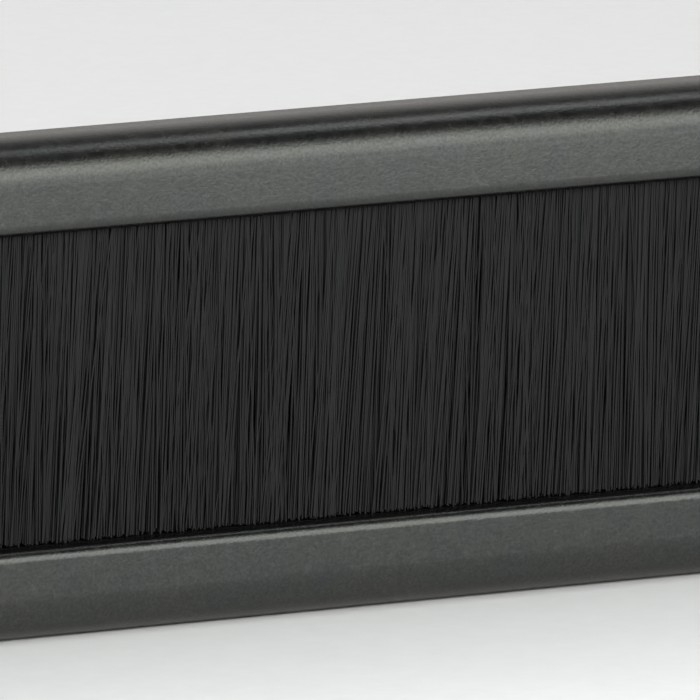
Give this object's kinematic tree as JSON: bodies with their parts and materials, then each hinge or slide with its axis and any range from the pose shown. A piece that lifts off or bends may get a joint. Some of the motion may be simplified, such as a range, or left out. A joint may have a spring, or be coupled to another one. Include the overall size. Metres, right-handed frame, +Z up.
{
  "type": "letter opening brush seal",
  "caption": "Mitred dark satin metal frame with two overlapping curtains of black bristles, which seals the letter opening of a door.",
  "frame": {"origin": "centre of the letter opening, on the plane where the foam meets the door; it is also the centre of the box, because the screws reach as far behind that plane as the frame stands in front of it", "axes": "+X along the opening, +Z up, +Y into the door; the room is on the -Y side"},
  "size_m": [0.2956, 0.027, 0.078],
  "materials": {
    "frame_finish": "dark satin, anodised",
    "corner_key": "as cast",
    "channel": "galvanised",
    "wire": "drawn",
    "bristle": "nylon filament, semi-matt",
    "packing": "extruded",
    "foam": "closed-cell foam",
    "screw": "black passivated"
  },
  "bodies": {
    "frame": {"top_rail": "frame_finish", "bottom_rail": "frame_finish", "left_stile": "frame_finish", "right_stile": "frame_finish", "corner_key_top_left": "corner_key", "corner_key_top_right": "corner_key", "corner_key_bottom_left": "corner_key", "corner_key_bottom_right": "corner_key", "upper_brush_channel": "channel", "upper_core_wire": "wire", "upper_bristle_roots": "bristle", "upper_packing_strip": "packing", "lower_brush_channel": "channel", "lower_core_wire": "wire", "lower_bristle_roots": "bristle", "lower_packing_strip": "packing", "gasket_top": "foam", "gasket_bottom": "foam", "gasket_left": "foam", "gasket_right": "foam", "fixing_screw_left_upper": "screw", "fixing_screw_left_lower": "screw", "fixing_screw_right_upper": "screw", "fixing_screw_right_lower": "screw"},
    "front_bristles_1": {"front_bristles_1": "bristle"},
    "front_bristles_2": {"front_bristles_2": "bristle"},
    "front_bristles_3": {"front_bristles_3": "bristle"},
    "front_bristles_4": {"front_bristles_4": "bristle"},
    "front_bristles_5": {"front_bristles_5": "bristle"},
    "front_bristles_6": {"front_bristles_6": "bristle"},
    "rear_bristles_1": {"rear_bristles_1": "bristle"},
    "rear_bristles_2": {"rear_bristles_2": "bristle"},
    "rear_bristles_3": {"rear_bristles_3": "bristle"},
    "rear_bristles_4": {"rear_bristles_4": "bristle"},
    "rear_bristles_5": {"rear_bristles_5": "bristle"},
    "rear_bristles_6": {"rear_bristles_6": "bristle"}
  },
  "joints": [
    {"name": "front_flex_1", "type": "hinge", "parent": "frame", "child": "front_bristles_1", "pos_m": [-0.11063, -0.0098, 0.0234], "axis": [-1, 0, 0], "range_deg": [0, 75], "stiffness_Nm_per_rad": 0.02},
    {"name": "front_flex_2", "type": "hinge", "parent": "frame", "child": "front_bristles_2", "pos_m": [-0.06638, -0.0098, 0.0234], "axis": [-1, 0, 0], "range_deg": [0, 75], "stiffness_Nm_per_rad": 0.02},
    {"name": "front_flex_3", "type": "hinge", "parent": "frame", "child": "front_bristles_3", "pos_m": [-0.02212, -0.0098, 0.0234], "axis": [-1, 0, 0], "range_deg": [0, 75], "stiffness_Nm_per_rad": 0.02},
    {"name": "front_flex_4", "type": "hinge", "parent": "frame", "child": "front_bristles_4", "pos_m": [0.02212, -0.0098, 0.0234], "axis": [-1, 0, 0], "range_deg": [0, 75], "stiffness_Nm_per_rad": 0.02},
    {"name": "front_flex_5", "type": "hinge", "parent": "frame", "child": "front_bristles_5", "pos_m": [0.06638, -0.0098, 0.0234], "axis": [-1, 0, 0], "range_deg": [0, 75], "stiffness_Nm_per_rad": 0.02},
    {"name": "front_flex_6", "type": "hinge", "parent": "frame", "child": "front_bristles_6", "pos_m": [0.11063, -0.0098, 0.0234], "axis": [-1, 0, 0], "range_deg": [0, 75], "stiffness_Nm_per_rad": 0.02},
    {"name": "rear_flex_1", "type": "hinge", "parent": "frame", "child": "rear_bristles_1", "pos_m": [-0.11063, -0.0052, -0.0234], "axis": [-1, 0, 0], "range_deg": [0, 75], "stiffness_Nm_per_rad": 0.02},
    {"name": "rear_flex_2", "type": "hinge", "parent": "frame", "child": "rear_bristles_2", "pos_m": [-0.06638, -0.0052, -0.0234], "axis": [-1, 0, 0], "range_deg": [0, 75], "stiffness_Nm_per_rad": 0.02},
    {"name": "rear_flex_3", "type": "hinge", "parent": "frame", "child": "rear_bristles_3", "pos_m": [-0.02212, -0.0052, -0.0234], "axis": [-1, 0, 0], "range_deg": [0, 75], "stiffness_Nm_per_rad": 0.02},
    {"name": "rear_flex_4", "type": "hinge", "parent": "frame", "child": "rear_bristles_4", "pos_m": [0.02212, -0.0052, -0.0234], "axis": [-1, 0, 0], "range_deg": [0, 75], "stiffness_Nm_per_rad": 0.02},
    {"name": "rear_flex_5", "type": "hinge", "parent": "frame", "child": "rear_bristles_5", "pos_m": [0.06638, -0.0052, -0.0234], "axis": [-1, 0, 0], "range_deg": [0, 75], "stiffness_Nm_per_rad": 0.02},
    {"name": "rear_flex_6", "type": "hinge", "parent": "frame", "child": "rear_bristles_6", "pos_m": [0.11063, -0.0052, -0.0234], "axis": [-1, 0, 0], "range_deg": [0, 75], "stiffness_Nm_per_rad": 0.02}
  ]
}
